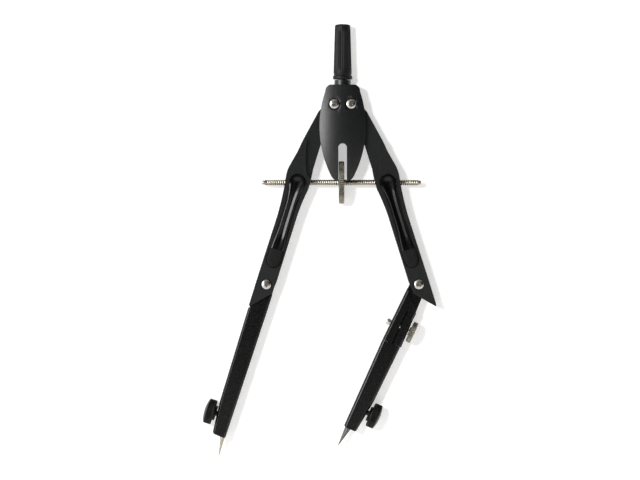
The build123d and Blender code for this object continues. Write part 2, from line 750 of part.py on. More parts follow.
if __name__ == "__main__":
    make_handle()
    make_handle_stem()
    make_cover("front_cover", True)
    make_cover("back_cover", False)
    make_pivot_hardware()
    make_spindle()
    make_wheel()
    make_thrust_washers()
    for side in ("left", "right"):
        make_upper_leg(side)
        make_swivel_block(side)
        make_half_nut(side)
        make_lever(side)
        make_lever_pin(side)
        make_lever_spring(side)
        make_knee_hardware(side)
    make_left_lower_leg()
    make_knee_socket()
    make_socket_clamp()
    make_lead_insert()
    make_point("needle", left_knee, needle_foot, needle_lean, needle_r, needle_cone)
    make_point("lead", right_knee, lead_foot, -lead_lean, lead_r, lead_cone)
    make_knob("left", left_knee, -1, -0.15)
    make_knob("right", right_knee, 1, 0.35)
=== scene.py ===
import json
import math

import bmesh
import bpy
from mathutils import Matrix, Vector


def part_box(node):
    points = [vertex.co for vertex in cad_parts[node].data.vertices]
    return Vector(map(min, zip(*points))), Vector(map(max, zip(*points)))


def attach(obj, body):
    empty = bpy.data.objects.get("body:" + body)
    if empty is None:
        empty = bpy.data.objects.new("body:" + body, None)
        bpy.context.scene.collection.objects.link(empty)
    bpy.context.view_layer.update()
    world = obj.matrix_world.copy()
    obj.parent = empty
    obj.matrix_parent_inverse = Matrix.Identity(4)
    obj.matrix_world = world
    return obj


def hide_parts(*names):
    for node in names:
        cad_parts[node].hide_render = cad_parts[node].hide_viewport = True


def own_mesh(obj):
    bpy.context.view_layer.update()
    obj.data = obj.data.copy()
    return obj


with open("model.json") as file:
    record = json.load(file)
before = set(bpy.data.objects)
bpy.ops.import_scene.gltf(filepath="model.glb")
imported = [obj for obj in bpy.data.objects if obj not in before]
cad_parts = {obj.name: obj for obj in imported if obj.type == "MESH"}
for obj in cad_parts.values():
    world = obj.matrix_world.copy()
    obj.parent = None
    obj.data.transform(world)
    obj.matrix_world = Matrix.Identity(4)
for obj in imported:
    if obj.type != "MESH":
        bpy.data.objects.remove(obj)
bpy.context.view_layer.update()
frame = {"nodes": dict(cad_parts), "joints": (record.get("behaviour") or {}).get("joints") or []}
cadNodes = frame["nodes"]
joints = {joint["name"]: joint for joint in frame["joints"]}
mm = 0.001
print("frame loaded,", len(cadNodes), "CAD nodes")


def colour(code):  # sRGB hex to linear
    parts = [int(code[i:i + 2], 16) / 255 for i in (1, 3, 5)]
    return (*(c / 12.92 if c <= 0.04045 else ((c + 0.055) / 1.055) ** 2.4 for c in parts), 1)


def addNode(tree, kind, links=None, **settings):
    node = tree.nodes.new(kind)
    for name, value in settings.items():
        setattr(node, name, value)
    for socket, value in (links or {}).items():
        if isinstance(value, bpy.types.NodeSocket):
            tree.links.new(value, node.inputs[socket])
        else:
            node.inputs[socket].default_value = value
    return node


# frames: local x across a piece, y up it, z out of its front

def makeFrame(origin, up, across):
    front = Vector((0, -1, 0))
    return Matrix((
        (across.x, up.x, front.x, origin.x),
        (across.y, up.y, front.y, origin.y),
        (across.z, up.z, front.z, origin.z),
        (0, 0, 0, 1)))


def jointPlace(name):
    return Vector(joints[name]["pos_m"])


def jointAxis(name):
    return Vector(joints[name]["axis"]).normalized()


def upperLegFrame(side, inward):
    nut, knee = jointPlace(f"block_{side}_turn"), jointPlace(f"knee_{side}_bend")
    up = (nut - knee).normalized()
    return makeFrame(nut, up, Vector((up.z * inward, 0, -up.x * inward)))


upperLegs = {"left": upperLegFrame("left", 1), "right": upperLegFrame("right", -1)}
lowerAcross = {"left": -jointAxis("knob_left_turn"), "right": jointAxis("knob_right_turn")}
lowerLegs = {
    side: makeFrame(jointPlace(f"knee_{side}_bend"), Vector((-across.z, 0, across.x)), across)
    for side, across in lowerAcross.items()}


# mesh helpers

def addPiece(name, mesh):
    piece = bpy.data.objects.new(name, mesh)
    bpy.context.scene.collection.objects.link(piece)
    return piece


def buildPiece(name, points, faces):
    mesh = bpy.data.meshes.new(name)
    mesh.from_pydata(points, [], faces)
    shape = bmesh.new()
    shape.from_mesh(mesh)
    bmesh.ops.remove_doubles(shape, verts=shape.verts, dist=1e-7)
    bmesh.ops.recalc_face_normals(shape, faces=shape.faces)
    shape.to_mesh(mesh)
    shape.free()
    return addPiece(name, mesh)


def spinProfile(name, profile, centre, axis, side, segments, ring=False):
    # profile holds (radius, along) in mm; ring closes it on itself instead of on the axis
    third = axis.cross(side)
    points, faces, rings = [], [], []
    for radius, along in profile:
        middle = centre + axis * along * mm
        start = len(points)
        if radius == 0:
            points.append(middle)
            rings.append([start] * segments)
            continue
        for k in range(segments):
            turn = 2 * math.pi * k / segments
            points.append(middle + (side * math.cos(turn) + third * math.sin(turn)) * radius * mm)
        rings.append(list(range(start, start + segments)))
    pairs = list(zip(rings, rings[1:]))
    if ring:
        pairs.append((rings[-1], rings[0]))
    for lower, upper in pairs:
        for k in range(segments):
            n = (k + 1) % segments
            corners = (lower[k], lower[n], upper[n], upper[k])
            faces.append(tuple(dict.fromkeys(corners)))
    return buildPiece(name, points, faces)


def extrudeOutline(name, outline, near, far, place):
    # outline in mm in the frame's x and y, from depth near to depth far along its front
    count = len(outline)
    points = [place @ (Vector((x, y, depth)) * mm) for depth in (near, far) for x, y in outline]
    faces = [tuple(range(count)), tuple(range(2 * count - 1, count - 1, -1))]
    faces += [(k, (k + 1) % count, count + (k + 1) % count, count + k) for k in range(count)]
    return buildPiece(name, points, faces)


def loftSections(name, sections):
    count = len(sections[0])
    points = [point for section in sections for point in section]
    faces = [tuple(range(count)), tuple(range(len(points) - 1, len(points) - count - 1, -1))]
    for row in range(len(sections) - 1):
        for k in range(count):
            n = (k + 1) % count
            a, b = row * count, (row + 1) * count
            faces.append((a + k, a + n, b + n, b + k))
    return buildPiece(name, points, faces)


def bakeModifiers(piece):
    reader = bpy.context.evaluated_depsgraph_get()
    mesh = bpy.data.meshes.new_from_object(piece.evaluated_get(reader))
    piece.modifiers.clear()
    piece.data = mesh
    return piece


def cutWith(piece, cutters):
    for cutter in cutters:
        modifier = piece.modifiers.new("cut", "BOOLEAN")
        modifier.operation, modifier.solver = "DIFFERENCE", "EXACT"
        modifier.object = cutter
    bakeModifiers(piece)
    for cutter in cutters:
        bpy.data.objects.remove(cutter)
    return piece


def finishPiece(piece, material, body, slot, *replaced, sharp=32, flatFaces=False):
    piece.data.materials.clear()
    piece.data.materials.append(material)
    piece.data.shade_smooth()
    piece.data.set_sharp_from_angle(angle=math.radians(sharp))
    if flatFaces:  # broad faces keep their own direction beside a rolled edge
        level = piece.modifiers.new("flatFaces", "WEIGHTED_NORMAL")
        level.keep_sharp, level.weight = True, 80
        bakeModifiers(piece)
    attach(piece, body)
    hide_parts(*replaced)
    return piece


def softCopy(name, node, style, isChosen):
    # copy of a CAD node with its chosen edges rolled over, by "roll" mm in "rollSteps" steps
    piece = addPiece(name, cadNodes[node].data.copy())
    shape = bmesh.new()
    shape.from_mesh(piece.data)
    bmesh.ops.remove_doubles(shape, verts=shape.verts, dist=2e-6)
    bmesh.ops.dissolve_limit(shape, angle_limit=math.radians(0.6), verts=shape.verts,
                             edges=shape.edges)
    chosen = [edge for edge in shape.edges if len(edge.link_faces) == 2 and isChosen(edge)]
    bmesh.ops.bevel(shape, geom=chosen, offset=style["roll"] * mm, offset_type="OFFSET",
                    segments=style["rollSteps"], profile=0.5, affect="EDGES", clamp_overlap=True)
    shape.to_mesh(piece.data)
    shape.free()
    return piece


def smoothStep(value, low, high):
    share = min(1, max(0, (value - low) / (high - low)))
    return share * share * (3 - 2 * share)


# materials

def startMaterial(name, metallic=0, specular=0.5):
    material = bpy.data.materials.new(name)
    material.use_nodes = True
    tree = material.node_tree
    surface = tree.nodes["Principled BSDF"]
    surface.inputs["Metallic"].default_value = metallic
    surface.inputs["Specular IOR Level"].default_value = specular
    where = addNode(tree, "ShaderNodeTexCoord").outputs["Object"]
    return material, tree, surface, where


def addGrain(tree, surface, where, size, lift, roughness, tones, detail=2):
    # grain of one size in mm: lift is its height in mm, roughness and tones its lowest and highest
    noise = addNode(tree, "ShaderNodeTexNoise", {
        "Vector": where, "Scale": 1 / (size * mm), "Detail": detail})
    level = noise.outputs["Fac"]
    rough = addNode(tree, "ShaderNodeMapRange", {
        "Value": level, "From Min": 0.3, "From Max": 0.7,
        "To Min": roughness[0], "To Max": roughness[1]})
    tint = addNode(tree, "ShaderNodeValToRGB", {"Fac": level})
    tint.color_ramp.elements[0].position, tint.color_ramp.elements[1].position = 0.3, 0.7
    tint.color_ramp.elements[0].color = colour(tones[0])
    tint.color_ramp.elements[1].color = colour(tones[1])
    bump = addNode(tree, "ShaderNodeBump", {
        "Height": level, "Distance": lift * mm, "Strength": 1.0})
    tree.links.new(rough.outputs["Result"], surface.inputs["Roughness"])
    tree.links.new(tint.outputs["Color"], surface.inputs["Base Color"])
    tree.links.new(bump.outputs["Normal"], surface.inputs["Normal"])


def addTurning(tree, surface, where, size, lift, roughness, tones, stretch):
    # fine marks drawn out along one direction, as a lathe or a brush leaves them
    drawn = addNode(tree, "ShaderNodeMapping", {"Vector": where, "Scale": stretch})
    addGrain(tree, surface, drawn.outputs["Vector"], size, lift, roughness, tones, detail=4)


# moulded ABS, spark-eroded tool: satin, a faint pebble under the light; the real grain is
# about 0.3 mm, drawn at 0.45 mm to show
headAbs, tree, surface, where = startMaterial("mouldedAbs")
addGrain(tree, surface, where, 0.45, 0.008, (0.30, 0.40), ("#101112", "#17181a"))

# moulded ABS of the fluted handle: a little greyer, duller
handleAbs, tree, surface, where = startMaterial("handleAbs", specular=0.2)
addGrain(tree, surface, where, 0.4, 0.008, (0.44, 0.58), ("#101112", "#18191a"))

# satin lacquer over die-cast zinc: smooth with a low orange peel
legLacquer, tree, surface, where = startMaterial("satinLacquer", specular=0.4)
addGrain(tree, surface, where, 0.7, 0.006, (0.34, 0.44), ("#101112", "#161718"))

# gloss ABS of the release levers: black, mirror-like over a soft waviness
leverGloss, tree, surface, where = startMaterial("glossAbs", specular=0.35)
addGrain(tree, surface, where, 2.5, 0.006, (0.17, 0.24), ("#040405", "#060607"))

# soft-touch pad of the levers: matte, dry
padMatte, tree, surface, where = startMaterial("softTouchPad", specular=0.2)
addGrain(tree, surface, where, 0.4, 0.010, (0.6, 0.75), ("#0a0b0a", "#111210"))

# fine-texture powder coat of the lower legs: near black, small glints
powderCoat, tree, surface, where = startMaterial("powderCoat", specular=0.35)
addGrain(tree, surface, where, 0.4, 0.006, (0.19, 0.3), ("#030303", "#070707"))

# nylon of the thumb knobs
knobNylon, tree, surface, where = startMaterial("knobNylon", specular=0.22)
addGrain(tree, surface, where, 0.4, 0.008, (0.34, 0.46), ("#060606", "#0b0b0b"))

# nickel plate over turned brass: warm grey, fine tool marks round the axis
nickelPlate, tree, surface, where = startMaterial("nickelPlate", metallic=1)
addTurning(tree, surface, where, 0.25, 0.004, (0.2, 0.36), ("#8b8679", "#b3aea2"), (1, 0.15, 0.15))

# nickel-plated knurled rims: the same plate, a bit duller from handling
knurlNickel, tree, surface, where = startMaterial("knurlNickel", metallic=1)
addGrain(tree, surface, where, 0.5, 0.006, (0.26, 0.42), ("#77736a", "#9f9b90"))

# polished steel screws: bright, thin polishing marks
screwSteel, tree, surface, where = startMaterial("polishedSteel", metallic=1)
addGrain(tree, surface, where, 0.3, 0.003, (0.16, 0.28), ("#bab7b0", "#d4d1cb"))

# ground needle and springs: bright steel with marks along it
needleSteel, tree, surface, where = startMaterial("groundSteel", metallic=1)
addGrain(tree, surface, where, 0.3, 0.003, (0.18, 0.3), ("#928d80", "#bab5a8"))

# graphite lead: grey, greasy metallic sheen
graphite, tree, surface, where = startMaterial("graphiteLead", metallic=0.75)
addGrain(tree, surface, where, 0.35, 0.006, (0.34, 0.5), ("#4a4a4b", "#6b6b6a"))

# bare turned brass inside: soft yellow
turnedBrass, tree, surface, where = startMaterial("turnedBrass", metallic=1)
addGrain(tree, surface, where, 0.3, 0.004, (0.26, 0.4), ("#a88c55", "#c5a86e"))

# blued steel of studs and stem: dark, smooth
bluedSteel, tree, surface, where = startMaterial("bluedSteel", metallic=0.6)
addGrain(tree, surface, where, 0.4, 0.003, (0.3, 0.42), ("#242426", "#303032"))

# black acetal washers: waxy
acetal, tree, surface, where = startMaterial("acetalWasher")
addGrain(tree, surface, where, 0.5, 0.004, (0.4, 0.5), ("#131313", "#1a1a1a"))

carriedOver = {
    "handle_stem": bluedSteel, "pivot_sleeves": screwSteel, "swivel_block_left": turnedBrass,
    "swivel_block_right": turnedBrass, "half_nut_left": turnedBrass, "half_nut_right": turnedBrass,
    "lever_pin_left": bluedSteel, "lever_pin_right": bluedSteel,
    "knee_nut_left": screwSteel, "knee_nut_right": screwSteel,
    "knee_washers_left": acetal, "knee_washers_right": acetal, "thrust_washers": acetal,
    "clamp_stud_left": bluedSteel, "clamp_stud_right": bluedSteel,
}
for node, material in carriedOver.items():
    for place in cadNodes[node].material_slots:
        place.material = material
print("materials made:", len(bpy.data.materials))


# node trees for what repeats

def startTree(name, inputs):
    tree = bpy.data.node_groups.new(name, "GeometryNodeTree")
    tree.is_modifier = True
    tree.interface.new_socket("Geometry", in_out="OUTPUT", socket_type="NodeSocketGeometry")
    tree.interface.new_socket("Geometry", in_out="INPUT", socket_type="NodeSocketGeometry")
    for label, kind in inputs:
        tree.interface.new_socket(label, in_out="INPUT", socket_type="NodeSocket" + kind)
    return tree, addNode(tree, "NodeGroupInput").outputs


def endTree(tree, geometry, material):
    real = addNode(tree, "GeometryNodeRealizeInstances", {"Geometry": geometry})
    coated = addNode(tree, "GeometryNodeSetMaterial", {
        "Geometry": real.outputs["Geometry"], "Material": material})
    addNode(tree, "NodeGroupOutput", {0: coated.outputs["Geometry"]})


def applyTree(piece, tree, settings):
    modifier = piece.modifiers.new(tree.name, "NODES")
    modifier.node_group = tree
    sockets = {item.name: item.identifier for item in tree.interface.items_tree
               if item.in_out == "INPUT"}
    for name, value in settings.items():
        modifier[sockets[name]] = value
    return bakeModifiers(piece)


def buildRibTree():
    # presses grooves into a turned piece: straight ones for flutes and knurls, a helix for threads
    tree, given = startTree("ribsRoundAnAxis", [
        ("Centre", "Vector"), ("Axis", "Vector"), ("Side", "Vector"), ("Count", "Float"),
        ("Turns per metre", "Float"), ("Depth", "Float"), ("Half length", "Float"),
        ("Fade", "Float"), ("Inner radius", "Float"), ("Clear middle", "Float"),
        ("Material", "Material")])
    position = addNode(tree, "GeometryNodeInputPosition").outputs[0]
    reach = addNode(tree, "ShaderNodeVectorMath", {0: position, 1: given["Centre"]},
                    operation="SUBTRACT")
    along = addNode(tree, "ShaderNodeVectorMath", {0: reach.outputs[0], 1: given["Axis"]},
                    operation="DOT_PRODUCT")
    onAxis = addNode(tree, "ShaderNodeVectorMath", {
        0: given["Axis"], "Scale": along.outputs["Value"]}, operation="SCALE")
    out = addNode(tree, "ShaderNodeVectorMath", {0: reach.outputs[0], 1: onAxis.outputs[0]},
                  operation="SUBTRACT")
    radius = addNode(tree, "ShaderNodeVectorMath", {0: out.outputs[0]}, operation="LENGTH")
    outward = addNode(tree, "ShaderNodeVectorMath", {0: out.outputs[0]}, operation="NORMALIZE")
    third = addNode(tree, "ShaderNodeVectorMath", {0: given["Axis"], 1: given["Side"]},
                    operation="CROSS_PRODUCT")
    u = addNode(tree, "ShaderNodeVectorMath", {0: out.outputs[0], 1: given["Side"]},
                operation="DOT_PRODUCT")
    v = addNode(tree, "ShaderNodeVectorMath", {0: out.outputs[0], 1: third.outputs[0]},
                operation="DOT_PRODUCT")
    angle = addNode(tree, "ShaderNodeMath", {0: v.outputs["Value"], 1: u.outputs["Value"]},
                    operation="ARCTAN2")
    turns = addNode(tree, "ShaderNodeMath", {0: angle.outputs[0], 1: 1 / (2 * math.pi)},
                    operation="MULTIPLY")
    size = addNode(tree, "ShaderNodeMath", {0: along.outputs["Value"]}, operation="ABSOLUTE")
    helix = addNode(tree, "ShaderNodeMath", {0: size.outputs[0], 1: given["Turns per metre"]},
                    operation="MULTIPLY")
    phase = addNode(tree, "ShaderNodeMath", {
        0: turns.outputs[0], 1: given["Count"], 2: helix.outputs[0]}, operation="MULTIPLY_ADD")
    wave = addNode(tree, "ShaderNodeMath", {0: phase.outputs[0], 1: 0.5}, operation="PINGPONG")
    start = addNode(tree, "ShaderNodeMath", {0: given["Half length"], 1: given["Fade"]},
                    operation="SUBTRACT")
    ends = addNode(tree, "ShaderNodeMapRange", {
        "Value": size.outputs[0], "From Min": start.outputs[0], "From Max": given["Half length"],
        "To Min": 2.0, "To Max": 0.0}, interpolation_type="SMOOTHSTEP")
    middle = addNode(tree, "ShaderNodeMath", {0: size.outputs[0], 1: given["Clear middle"]},
                     operation="GREATER_THAN")
    rim = addNode(tree, "ShaderNodeMath", {0: radius.outputs["Value"], 1: given["Inner radius"]},
                  operation="GREATER_THAN")
    mask = addNode(tree, "ShaderNodeMath", {0: middle.outputs[0], 1: rim.outputs[0]},
                   operation="MULTIPLY")
    depth = addNode(tree, "ShaderNodeMath", {0: ends.outputs[0], 1: mask.outputs[0]},
                    operation="MULTIPLY")
    pressed = addNode(tree, "ShaderNodeMath", {0: depth.outputs[0], 1: wave.outputs[0]},
                      operation="MULTIPLY")
    metres = addNode(tree, "ShaderNodeMath", {0: pressed.outputs[0], 1: given["Depth"]},
                     operation="MULTIPLY")
    inward = addNode(tree, "ShaderNodeMath", {0: metres.outputs[0], 1: -1.0}, operation="MULTIPLY")
    shift = addNode(tree, "ShaderNodeVectorMath", {
        0: outward.outputs[0], "Scale": inward.outputs[0]}, operation="SCALE")
    moved = addNode(tree, "GeometryNodeSetPosition", {
        "Geometry": given["Geometry"], "Offset": shift.outputs[0]})
    endTree(tree, moved.outputs["Geometry"], given["Material"])
    return tree


def buildScrewTree():
    # one screw on each point, turned to a random angle as an assembler leaves it
    tree, given = startTree("screwsOnPoints", [
        ("Screw", "Object"), ("Seed", "Int"), ("Material", "Material")])
    screw = addNode(tree, "GeometryNodeObjectInfo", {"Object": given["Screw"]})
    turn = addNode(tree, "FunctionNodeRandomValue", {
        "Min": (0, 0, 0), "Max": (0, 2 * math.pi, 0), "Seed": given["Seed"]},
        data_type="FLOAT_VECTOR")
    placed = addNode(tree, "GeometryNodeInstanceOnPoints", {
        "Points": given["Geometry"], "Instance": screw.outputs["Geometry"],
        "Rotation": turn.outputs["Value"]})
    endTree(tree, placed.outputs["Instances"], given["Material"])
    return tree


ribTree, screwTree = buildRibTree(), buildScrewTree()
xAxis, yAxis, zAxis = Vector((1, 0, 0)), Vector((0, 1, 0)), Vector((0, 0, 1))


def pressRibs(piece, style, centre, axis, side, material):
    return applyTree(piece, ribTree, {
        "Centre": centre, "Axis": axis, "Side": side, "Count": float(style["ribs"]),
        "Turns per metre": style.get("turnsPerMm", 0.0) / mm, "Depth": style["ribDepth"] * mm,
        "Half length": style["ribHalf"] * mm, "Fade": style["ribFade"] * mm,
        "Inner radius": style["ribInner"] * mm, "Clear middle": style.get("clearMiddle", -1.0) * mm,
        "Material": material})


# handle: a tapered fluted barrel on a collar

handle = {
    "flutes": 30, "fluteDepth": 0.13, "foot": 1.5, "footRadius": 3.45,
    "shoulder": 19.3, "shoulderRadius": 2.95, "bore": 1.52, "boreTop": 12.0,
}


def makeHandle():
    rows = 16
    taper = handle["shoulderRadius"] - handle["footRadius"]
    length = handle["shoulder"] - handle["foot"]
    barrel = [(handle["footRadius"] + taper * k / rows, handle["foot"] + length * k / rows)
              for k in range(rows + 1)]
    profile = [(0, handle["boreTop"]), (handle["bore"], handle["boreTop"]), (handle["bore"], -0.7),
               (3.35, -0.7), (3.57, -0.62), (3.68, -0.45), (3.7, -0.3), (3.7, 0.3), (3.67, 0.45),
               (3.55, 0.62), (3.33, 0.85), (3.28, 1.15), (3.36, 1.35), *barrel,
               (2.93, 19.55), (2.86, 19.8), (2.7, 20.0), (2.4, 20.12), (1.6, 20.28),
               (0.8, 20.37), (0, 20.4)]
    piece = spinProfile("flutedHandle", profile, Vector((0, 0, 0)), zAxis, xAxis,
                        handle["flutes"] * 4)
    middle = (handle["foot"] + handle["shoulder"]) / 2
    style = {"ribs": handle["flutes"], "ribDepth": handle["fluteDepth"],
             "ribHalf": length / 2 - 0.2, "ribFade": 0.6, "ribInner": 2.6}
    pressRibs(piece, style, Vector((0, 0, middle * mm)), zAxis, xAxis, handleAbs)
    return finishPiece(piece, handleAbs, "head", "handle_plastic", "handle", sharp=28)


makeHandle()
print("handle done")

# screws: pan heads with a cross recess

screwStyle = {
    "headRadius": 1.9, "kneeHeadRadius": 1.95, "headHeight": 1.0, "crossWidth": 0.62,
    "crossLength": 2.4, "crossDepth": 0.8, "seeds": {"pivot": 7, "left": 11, "right": 12},
}


def makeScrew(name, headRadius, shankRadius, shankLength):
    high = screwStyle["headHeight"]
    profile = [(0, shankLength), (shankRadius - 0.15, shankLength),
               (shankRadius, shankLength - 0.15), (shankRadius, 0), (headRadius, 0),
               (headRadius, -0.32 * high),
               (headRadius * 0.985, -0.48 * high), (headRadius * 0.93, -0.66 * high),
               (headRadius * 0.83, -0.81 * high), (headRadius * 0.66, -0.92 * high),
               (headRadius * 0.4, -0.985 * high), (0, -high)]
    screw = spinProfile(name, profile, Vector((0, 0, 0)), yAxis, xAxis, 64)
    half, wide = screwStyle["crossLength"] / 2, screwStyle["crossWidth"] / 2
    small = wide * 0.6
    cutters = []
    for across, up in ((xAxis, zAxis), (zAxis, xAxis)):
        points = []
        for depth, length, width in ((-high - 0.3, half + 0.12, wide + 0.05),
                                     (-high + screwStyle["crossDepth"], half * 0.45, small)):
            for a, b in ((-1, -1), (1, -1), (1, 1), (-1, 1)):
                points.append((across * a * length + up * b * width + yAxis * depth) * mm)
        cutters.append(buildPiece("crossArm", points, [
            (0, 1, 2, 3), (4, 5, 6, 7), (0, 1, 5, 4), (1, 2, 6, 5), (2, 3, 7, 6), (3, 0, 4, 7)]))
    return cutWith(screw, cutters)


def placeScrews(name, node, headRadius, shankRadius, shankLength, body, seed):
    low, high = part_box(node)
    seat = low.y + screwStyle["headHeight"] * mm
    inset = headRadius * mm
    spots = {(round(low.x + inset, 6), round(low.z + inset, 6)),
             (round(high.x - inset, 6), round(high.z - inset, 6))}
    if high.x - low.x < 3 * inset:
        spots = {((low.x + high.x) / 2, (low.z + high.z) / 2)}
    piece = buildPiece(name, [Vector((x, seat, z)) for x, z in sorted(spots)], [])
    screw = makeScrew(name + "Model", headRadius, shankRadius, shankLength)
    applyTree(piece, screwTree, {"Screw": screw, "Seed": seed, "Material": screwSteel})
    bpy.data.objects.remove(screw)
    return finishPiece(piece, screwSteel, body, "screw_steel", node, sharp=40)


placeScrews("pivotScrews", "pivot_screws", screwStyle["headRadius"], 1.0, 7.4, "head",
            screwStyle["seeds"]["pivot"])
for side in ("left", "right"):
    placeScrews(f"kneeScrew.{side}", f"knee_screw_{side}", screwStyle["kneeHeadRadius"], 1.2, 6.4,
                f"leg_{side}", screwStyle["seeds"][side])
print("screws done")

# spindle: left-hand thread on one side of the wheel, right-hand on the other

spindle = {
    "radius": 1.15, "pitch": 0.8, "threadDepth": 0.22, "half": 30.2, "endRadius": 0.8,
    "endLength": 1.1, "stepsPerPitch": 7, "segments": 24, "clearMiddle": 1.5,
}


def makeSpindle():
    low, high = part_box("spindle")
    centre = (low + high) / 2
    threaded = spindle["half"] - spindle["endLength"]
    steps = round(2 * threaded / spindle["pitch"] * spindle["stepsPerPitch"])
    rod = [(spindle["radius"], -threaded + 2 * threaded * k / steps) for k in range(steps + 1)]
    tip = spindle["endRadius"]
    profile = [(0, -spindle["half"]), (tip - 0.15, -spindle["half"]), (tip, 0.15 - spindle["half"]),
               (tip, -threaded - 0.02), *rod, (tip, threaded + 0.02),
               (tip, spindle["half"] - 0.15), (tip - 0.15, spindle["half"]), (0, spindle["half"])]
    piece = spinProfile("threadedSpindle", profile, centre, xAxis, zAxis, spindle["segments"])
    style = {"ribs": 1, "turnsPerMm": 1 / spindle["pitch"], "ribDepth": spindle["threadDepth"],
             "ribHalf": threaded + 0.01, "ribFade": 0.5, "ribInner": 1.0,
             "clearMiddle": spindle["clearMiddle"]}
    pressRibs(piece, style, centre, xAxis, zAxis, nickelPlate)
    return finishPiece(piece, nickelPlate, "spindle", "nickel", "spindle", sharp=50)


makeSpindle()

# wheel: straight knurl between two bright chamfers

wheel = {"radius": 8.05, "half": 1.05, "chamfer": 0.27, "recess": 2.7, "recessDepth": 0.35,
         "bore": 1.17, "ribs": 58, "ribDepth": 0.3, "ribHalf": 0.79, "ribFade": 0.05,
         "ribInner": 7.9}


def makeWheel():
    low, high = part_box("centre_wheel")
    centre = (low + high) / 2
    r, h, c = wheel["radius"], wheel["half"], wheel["chamfer"]
    floor = h - wheel["recessDepth"]
    profile = [(wheel["bore"], -floor), (wheel["recess"], -floor), (wheel["recess"], -h),
               (r * 0.55, -h), (r * 0.58, -h + 0.18), (r * 0.86, -h + 0.18), (r * 0.89, -h),
               (r - c, -h), (r, -h + c), (r, -h + c + 0.04), (r, 0), (r, h - c - 0.04), (r, h - c),
               (r - c, h), (r * 0.89, h), (r * 0.86, h - 0.18), (r * 0.58, h - 0.18), (r * 0.55, h),
               (wheel["recess"], h), (wheel["recess"], floor), (wheel["bore"], floor)]
    piece = spinProfile("knurledWheel", profile, centre, xAxis, zAxis, wheel["ribs"] * 4, ring=True)
    pressRibs(piece, wheel, centre, xAxis, zAxis, knurlNickel)
    return finishPiece(piece, knurlNickel, "spindle", "nickel", "centre_wheel", sharp=25)


makeWheel()
print("spindle and wheel done")

# thumb knobs

knob = {"radius": 4.75, "neck": 2.9, "start": 3.15, "shoulder": 3.95, "top": 7.75, "along": -52.5,
        "bore": 1.02, "boreEnd": 6.3, "ribs": 40, "ribDepth": 0.24, "ribMiddle": 5.5,
        "ribHalf": 1.2, "ribFade": 0.1, "ribInner": 4.6}


def makeKnob(side):
    r = knob["radius"]
    across = lowerAcross[side] * (-1 if side == "left" else 1)
    origin = lowerLegs[side] @ Vector((0, knob["along"] * mm, 0))
    profile = [(0, knob["boreEnd"]), (knob["bore"], knob["boreEnd"]), (knob["bore"], knob["start"]),
               (knob["neck"], knob["start"]), (knob["neck"], knob["shoulder"]),
               (4.35, knob["shoulder"]), (4.6, 4.05), (4.72, 4.25), (r, 4.35), (r, 4.9), (r, 5.5),
               (r, 6.1), (r, 6.65), (4.72, 6.82), (4.6, 6.95), (4.3, 7.06), (3.6, 7.26),
               (2.6, 7.5), (1.4, 7.69), (0, knob["top"])]
    piece = spinProfile(f"thumbKnob.{side}", profile, origin, across, yAxis, knob["ribs"] * 4)
    middle = origin + across * knob["ribMiddle"] * mm
    pressRibs(piece, knob, middle, across, yAxis, knobNylon)
    return finishPiece(piece, knobNylon, f"knob_{side}", "knob_plastic", f"clamp_knob_{side}",
                       sharp=30)


for side in ("left", "right"):
    makeKnob(side)

# clamp of the insert: knurled nut and its cheese-head screw

clamp = {"along": -17.6, "depth": 1.1, "nutRadius": 4.1, "nutStart": 4.35, "nutEnd": 6.15,
         "hub": 1.7, "hubStart": 3.95, "bore": 0.86, "ribs": 36, "ribDepth": 0.3, "ribHalf": 0.66,
         "ribFade": 0.06, "ribInner": 3.95, "head": 1.25, "headStart": -5.4, "headEnd": -3.75,
         "screwRadius": 0.8, "screwEnd": 6.4, "slotWidth": 0.34, "slotDepth": 0.5}


def makeClamp():
    across = lowerAcross["right"]
    origin = lowerLegs["right"] @ (Vector((0, clamp["along"], clamp["depth"])) * mm)
    r, a, b = clamp["nutRadius"], clamp["nutStart"], clamp["nutEnd"]
    profile = [(clamp["bore"], clamp["hubStart"]), (clamp["hub"], clamp["hubStart"]),
               (clamp["hub"], a), (r - 0.22, a), (r, a + 0.22), (r, a + 0.26), (r, (a + b) / 2),
               (r, b - 0.26), (r, b - 0.22), (r - 0.22, b), (2.3, b), (2.1, b - 0.12),
               (1.5, b - 0.12), (1.35, b), (clamp["bore"], b)]
    nut = spinProfile("clampNut", profile, origin, across, yAxis, clamp["ribs"] * 4, ring=True)
    pressRibs(nut, clamp, origin + across * (a + b) / 2 * mm, across, yAxis, knurlNickel)
    finishPiece(nut, knurlNickel, "socket_nut", "nickel", "socket_clamp_nut", sharp=25)
    head, start, end = clamp["head"], clamp["headStart"], clamp["headEnd"]
    profile = [(0, start), (head * 0.72, start + 0.03), (head * 0.92, start + 0.14),
               (head, start + 0.34), (head, end - 0.45), (head * 0.86, end - 0.38),
               (head * 0.86, end), (clamp["screwRadius"], end),
               (clamp["screwRadius"], clamp["screwEnd"] - 0.15),
               (clamp["screwRadius"] - 0.15, clamp["screwEnd"]), (0, clamp["screwEnd"])]
    screw = spinProfile("clampScrew", profile, origin, across, yAxis, 48)
    wide, deep = clamp["slotWidth"] / 2, clamp["slotDepth"]
    slotOutline = [(start - deep, -wide), (start + deep, -wide), (start + deep, wide),
                   (start - deep, wide)]
    slot = extrudeOutline("slot", slotOutline, -2, 2,
                          makeFrame(origin, Vector((-across.z, 0, across.x)), across))
    cutWith(screw, [slot])
    finishPiece(screw, screwSteel, "knee_socket", "screw_steel", "socket_clamp_screw", sharp=30)


makeClamp()
print("knobs and clamp done")

# needle and lead: ground cones

points = {
    "needle": {"foot": (1.9, -60.1), "lean": 6.9, "radius": 0.9, "cone": 7.6, "facets": 40},
    "lead": {"foot": (-1.7, -61.2), "lean": -4.5, "radius": 1.1, "cone": 6.9, "facets": 14},
}


